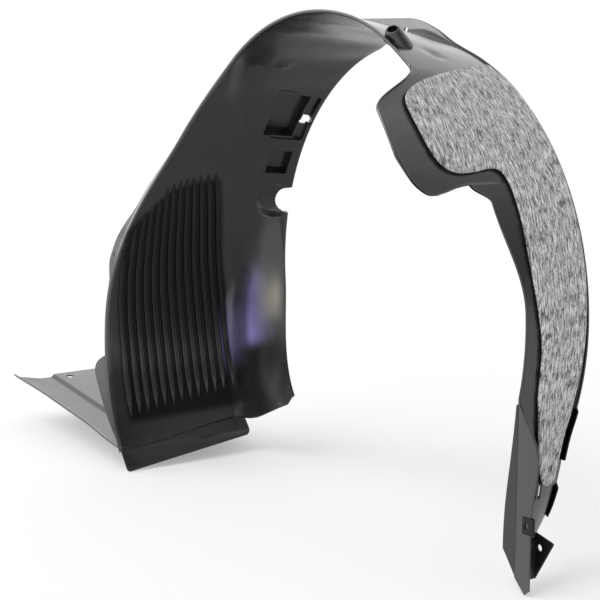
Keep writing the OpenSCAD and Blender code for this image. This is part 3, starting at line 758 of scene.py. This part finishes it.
# ---- The boss ---------------------------------------------------------------------------
# A hollow tapered boss on top of the shell beside the notch for the strut. A fixing goes through
# it, and a small fillet carries it into the shell.
turns = 48
boss_line = [(boss_bore * 0.69, -8), (boss_bore * 0.69, boss_h - 1.0), (boss_bore * 0.67, boss_h - 0.3),
             (boss_bore * 0.63, boss_h), (boss_bore / 2 + 0.4, boss_h), (boss_bore / 2, boss_h - 0.5), (boss_bore / 2, -8)]
points = []
for r, h in boss_line:
    for s in np.linspace(0, 2 * math.pi, turns, endpoint=False):
        wide = r + boss_bore * 0.9 * (boss_h - h) / (boss_h + 8) * (r > boss_bore * 0.6)
        points.append((wide * math.cos(s), wide * math.sin(s), h))
n = len(boss_line)
faces = [(i * turns + j, i * turns + (j + 1) % turns, (i + 1) % n * turns + (j + 1) % turns, (i + 1) % n * turns + j)
         for i in range(n) for j in range(turns)]
boss = mesh_object("hollow_boss", points, faces)
boss.data.transform(boss_turn @ mm)
under = sheet_r(np.array([boss_a - 8, boss_a + 8])[:, None], share(boss_a, np.array([[boss_y - 30, boss_y + 30]]))) + 1.2
carve(boss, tapered("below", (boss_r - 45, boss_r - 45, boss_a - 8, boss_a + 8, boss_y - 30, boss_y + 30),
                    (float(under[0, 0]), float(under[0, 1]), boss_a - 8, boss_a + 8, boss_y - 30, boss_y + 30)), "DIFFERENCE")
boss.data.materials.clear()
boss.data.materials.append(plastic)
smooth(boss)
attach(boss, "root")


# ---- The felt pad -----------------------------------------------------------------------
# Grey needle-punched polyester felt, about 6 mm thick, on the outer side of the rear leg and the
# lobe. It quiets stones thrown up by the tyre, and small hot welds hold it to the shell.
felt_t, felt_gap = 6.0, 1.0
per_degree = math.radians(1) * inboard_r
felt_outline = [(50.3, -30), (52.7, -7), (55.3, 37), (57.4, 76), (62.0, 140), (62.6, 158), (61.8, 162), (60.2, 163),
                (58.8, 165), (58.2, 170), (56.4, 171), (20, 171), (6, 170), (-6, 167), (-14, 164), (-31, 160), (-32.8, 157), (-33.2, 150),
                (-32.8, 134), (-30.6, 121), (-24, 110), (-11.1, 99), (-2.7, 98), (3.6, 91), (13, 82.5), (23.1, 82),
                (30.6, 78), (33, 72), (33.6, 59), (32.8, 32), (32.4, 9), (33.2, -11), (35.3, -24), (38.6, -30),
                (43.8, -34), (48.1, -35)]
ring = np.array([((p + 2.2 * float(ease(20, 29, p) * (1 - ease(33, 42, p)) * (1 - ease(-45, 20, q)))) * per_degree, q)
                 for p, q in felt_outline])
for _ in range(2):
    after = np.roll(ring, -1, axis=0)
    ring = np.stack([mix(ring, after, 0.25), mix(ring, after, 0.75)], axis=1).reshape(-1, 2)
long_ = np.linalg.norm(np.roll(ring, -1, axis=0) - ring, axis=1)
along = np.concatenate([[0], np.cumsum(long_)])
closed = np.vstack([ring, ring[:1]])
at = np.linspace(0, along[-1], int(along[-1] / 3.2), endpoint=False)
rim = np.stack([np.interp(at, along, closed[:, 0]), np.interp(at, along, closed[:, 1])], axis=1)


def rim_distance(points):
    a0, b0 = rim, np.roll(rim, -1, axis=0)
    best = np.full(len(points), 1e9)
    for p, q in zip(a0, b0):
        d = q - p
        t = np.clip(((points - p) @ d) / (d @ d), 0, 1)
        best = np.minimum(best, np.linalg.norm(points - (p + t[:, None] * d), axis=1))
    return best


def within(points):
    inside = np.zeros(len(points), dtype=bool)
    for p, q in zip(rim, np.roll(rim, -1, axis=0)):
        crosses = (p[1] > points[:, 1]) != (q[1] > points[:, 1])
        slope = (q[0] - p[0]) * (points[:, 1] - p[1]) / (q[1] - p[1] + 1e-12) + p[0]
        inside ^= crosses & (points[:, 0] < slope)
    return inside


step = np.roll(rim, -1, axis=0) - np.roll(rim, 1, axis=0)
normal = np.stack([-step[:, 1], step[:, 0]], axis=1)
normal /= np.linalg.norm(normal, axis=1, keepdims=True)
if not within(rim[:1] + normal[:1] * 2)[0]:
    normal = -normal
bands = []
for inset in (0.35, 1.0, 2.0, 3.6):
    band = rim + normal * inset
    bands.append(band[(rim_distance(band) > inset * 0.93) & within(band)])
pitch = 4.4
gx, gy = np.meshgrid(np.arange(rim[:, 0].min(), rim[:, 0].max(), pitch), np.arange(rim[:, 1].min(), rim[:, 1].max(), pitch))
rng = np.random.default_rng(4)
field = np.stack([gx.ravel(), gy.ravel()], axis=1) + rng.uniform(-0.5, 0.5, (gx.size, 2))
field = field[within(field)]
field = field[rim_distance(field) > 5.4]
flat = np.concatenate([rim, *bands, field])
count = len(rim)
result = delaunay_2d_cdt([Vector(p) for p in flat.tolist()], [(i, (i + 1) % count) for i in range(count)], [], 1, 1e-4)
flat = np.array([tuple(p) for p in result[0]])
triangles = result[2]
depth_in = np.clip(rim_distance(flat) / 3.8, 0, 1)
puff = np.sqrt(1 - (1 - depth_in) ** 2)
puff[depth_in < 0.02] = 0
welds = np.array([(48.2, -22), (36, -14), (41.5, 60), (25, 150), (34, 165), (2, 160), (-1, 104), (-27.5, 152), (-29.5, 141)])
weld = np.zeros(len(flat))
for wa, wy in welds:
    d = np.linalg.norm(flat - np.array([wa * per_degree, wy]), axis=1)
    weld = np.maximum(weld, 1 - ease(1.0, 7.0, d))
rough = rng.normal(0, 0.10, len(flat)) * (puff > 0.5)
fa, fy = flat[:, 0] / per_degree, flat[:, 1]
fr = sheet_r(fa, np.minimum(0.995, share(fa, fy))) + wall + felt_gap
mid = felt_t / 2
upper = placed(fr + mid + (mid - 0.2) * puff - 2.6 * weld * puff + rough, fa, fy)
lower = placed(fr + mid - (mid - 0.2) * puff, fa, fy)
edge_points = puff <= 0
number = np.where(edge_points, np.arange(len(flat)), 0)
inner = np.flatnonzero(~edge_points)
number[inner] = len(flat) + np.arange(len(inner))
points = np.concatenate([upper, lower[inner]])
faces = [tuple(f) for f in triangles] + [tuple(int(number[i]) for i in f[::-1]) for f in triangles]
felt = mesh_object("felt_pad_soft", points, faces)
where = np.concatenate([flat, flat[inner]]) / 1000
pressed = np.concatenate([weld * puff, np.zeros(len(inner))]).astype(np.float32)
felt.data.attributes.new("weld", "FLOAT", "POINT").data.foreach_set("value", pressed)
uv = felt.data.uv_layers.new(name="lie")
corners = np.empty(len(felt.data.loops), dtype=np.int32)
felt.data.loops.foreach_get("vertex_index", corners)
uv.data.foreach_set("uv", where[corners].astype(np.float32).ravel())


def needle_felt():
    """Grey polyester felt, carded and needle-punched. To the eye it is a mat of pale and dark
    fibres that lie mostly down the leg, mottled in patches of a few centimetres. Real fibres are
    0.03 mm thick, so tufts of 2.3 mm by 17 mm are drawn in their place."""
    made = bpy.data.materials.new("needle-punched grey felt")
    made.use_nodes = True
    tree = made.node_tree
    tree.nodes.clear()
    lie = put(tree, "ShaderNodeUVMap", uv_map="lie").outputs[0]
    bend = put(tree, "ShaderNodeTexNoise", {"Vector": lie, "Scale": 1 / 0.03, "Detail": 2.0})
    sway = put(tree, "ShaderNodeVectorMath", {0: bend.outputs["Color"], "Scale": 0.006}, operation="SCALE")
    lie = put(tree, "ShaderNodeVectorMath", {0: lie, 1: sway.outputs[0]}, operation="ADD").outputs[0]
    tufts = put(tree, "ShaderNodeMapping", {"Vector": lie, "Scale": (1 / 0.017, 1 / 0.0023, 1.0)})
    fibre = put(tree, "ShaderNodeTexNoise", {"Vector": tufts.outputs[0], "Scale": 1.0, "Detail": 6.0, "Roughness": 0.8})
    fine = put(tree, "ShaderNodeMapping", {"Vector": lie, "Scale": (1 / 0.004, 1 / 0.0012, 1.0)})
    hair = put(tree, "ShaderNodeTexNoise", {"Vector": fine.outputs[0], "Scale": 1.0, "Detail": 3.0, "Roughness": 0.7})
    patch = put(tree, "ShaderNodeTexNoise", {"Vector": lie, "Scale": 1 / 0.016, "Detail": 3.0, "Roughness": 0.6})
    mixed = put(tree, "ShaderNodeMix", {0: 0.22, 2: fibre.outputs[0], 3: hair.outputs[0]})
    mixed = put(tree, "ShaderNodeMix", {0: 0.10, 2: mixed.outputs[0], 3: patch.outputs[0]})
    tone = put(tree, "ShaderNodeMapRange", {"Value": mixed.outputs[0], "From Min": 0.43, "From Max": 0.585})
    colour = put(tree, "ShaderNodeMix", {0: tone.outputs[0], 6: linear("#3a3a3c"), 7: linear("#ececee")}, data_type="RGBA")
    melted = put(tree, "ShaderNodeAttribute", attribute_name="weld")
    spot = put(tree, "ShaderNodeMapRange", {"Value": melted.outputs["Fac"], "From Min": 0.1, "From Max": 0.6,
                                            "To Min": 0.0, "To Max": 0.6}, interpolation_type="SMOOTHSTEP")
    colour = put(tree, "ShaderNodeMix", {0: spot.outputs[0], 6: colour.outputs[2], 7: linear("#3c3b3c")}, data_type="RGBA")
    nap = put(tree, "ShaderNodeBump", {"Height": mixed.outputs[0], "Strength": 0.8, "Distance": 0.0012})
    surface = put(tree, "ShaderNodeBsdfPrincipled", {"Base Color": colour.outputs[2], "Roughness": 0.95,
                                                     "Specular IOR Level": 0.15, "Sheen Weight": 0.25,
                                                     "Sheen Roughness": 0.5, "Normal": nap.outputs[0]})
    put(tree, "ShaderNodeOutputMaterial", {"Surface": surface.outputs[0]})
    return made


felt.data.materials.append(needle_felt())
smooth(felt, 70)
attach(felt, "root")
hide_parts("felt_pad")


# ---- The foot bracket -------------------------------------------------------------------
# A folded bracket in black nylon with glass fibre, clipped behind the foot's flange. A screw
# goes through its lower leaf. Its edges are softened on the CAD node's own shape.
def softened(node, name, width, corner=0.0):
    """A copy of a CAD node with its points merged and its edges softened. The short edges across
    the sheet, which are its corners, get a radius of their own."""
    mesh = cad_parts[node].data.copy()
    piece = bpy.data.objects.new(name, mesh)
    scene.collection.objects.link(piece)
    shape = bmesh.new()
    shape.from_mesh(mesh)
    bmesh.ops.remove_doubles(shape, verts=shape.verts, dist=1e-6)
    bmesh.ops.dissolve_limit(shape, angle_limit=math.radians(1), verts=shape.verts, edges=shape.edges)
    if corner:
        short = [e for e in shape.edges if e.calc_length() < 0.0032 and e.calc_face_angle(0) > 0.9]
        bmesh.ops.bevel(shape, geom=short, offset=corner, segments=4, profile=0.5, affect="EDGES", clamp_overlap=True)
    shape.to_mesh(mesh)
    shape.free()
    mesh.materials.clear()
    edge = piece.modifiers.new("edge", "BEVEL")
    edge.width, edge.segments, edge.limit_method, edge.angle_limit = width, 2, "ANGLE", math.radians(50)
    finish_shape(piece)
    return piece


def glass_nylon():
    """Black nylon filled with glass, moulded. To the eye it is a deep black, duller than the
    shell, with a faint streak from the fibres, drawn at 2 mm."""
    made = bpy.data.materials.new("moulded black nylon")
    made.use_nodes = True
    tree = made.node_tree
    tree.nodes.clear()
    place = put(tree, "ShaderNodeTexCoord").outputs["Object"]
    streak = put(tree, "ShaderNodeMapping", {"Vector": place, "Scale": (1 / 0.002, 1 / 0.002, 1 / 0.009)})
    fibre = put(tree, "ShaderNodeTexNoise", {"Vector": streak.outputs[0], "Scale": 1.0, "Detail": 3.0})
    tone = put(tree, "ShaderNodeMix", {0: fibre.outputs[0], 6: linear("#0f0f10"), 7: linear("#1d1d1e")}, data_type="RGBA")
    dull = put(tree, "ShaderNodeMapRange", {"Value": fibre.outputs[0], "To Min": 0.42, "To Max": 0.62})
    skin = put(tree, "ShaderNodeBump", {"Height": fibre.outputs[0], "Strength": 0.2, "Distance": 0.0003})
    surface = put(tree, "ShaderNodeBsdfPrincipled", {"Base Color": tone.outputs[2], "Roughness": dull.outputs[0],
                                                     "IOR": 1.53, "Normal": skin.outputs[0]})
    put(tree, "ShaderNodeOutputMaterial", {"Surface": surface.outputs[0]})
    return made


bracket = softened("foot_bracket", "folded_bracket", 0.0006, 0.005)
bracket.data.materials.append(glass_nylon())
smooth(bracket)
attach(bracket, "root")
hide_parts("foot_bracket")


# ---- The nut clip -----------------------------------------------------------------------
# A spring steel clip, folded over the edge of the foot's flange, which holds a nut for the screw
# that draws the foot to the sill.
def spring_steel():
    """Spring steel with a dark phosphate coat. To the eye it is a grey-black metal, matt in the
    flats, with paler worn patches of a few millimetres."""
    made = bpy.data.materials.new("phosphated spring steel")
    made.use_nodes = True
    tree = made.node_tree
    tree.nodes.clear()
    place = put(tree, "ShaderNodeTexCoord").outputs["Object"]
    wear = put(tree, "ShaderNodeTexNoise", {"Vector": place, "Scale": 1 / 0.003, "Detail": 5.0, "Roughness": 0.65})
    worn = put(tree, "ShaderNodeMapRange", {"Value": wear.outputs[0], "From Min": 0.55, "From Max": 0.8})
    tone = put(tree, "ShaderNodeMix", {0: worn.outputs[0], 6: linear("#39393b"), 7: linear("#6b6b6e")}, data_type="RGBA")
    dull = put(tree, "ShaderNodeMapRange", {"Value": worn.outputs[0], "To Min": 0.55, "To Max": 0.34})
    skin = put(tree, "ShaderNodeBump", {"Height": wear.outputs[0], "Strength": 0.15, "Distance": 0.0002})
    surface = put(tree, "ShaderNodeBsdfPrincipled", {"Base Color": tone.outputs[2], "Roughness": dull.outputs[0],
                                                     "Metallic": 1.0, "Normal": skin.outputs[0]})
    put(tree, "ShaderNodeOutputMaterial", {"Surface": surface.outputs[0]})
    return made


clip = softened("nut_clip", "spring_clip", 0.0003)
clip.data.materials.append(spring_steel())
smooth(clip)
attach(clip, "root")
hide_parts("nut_clip")
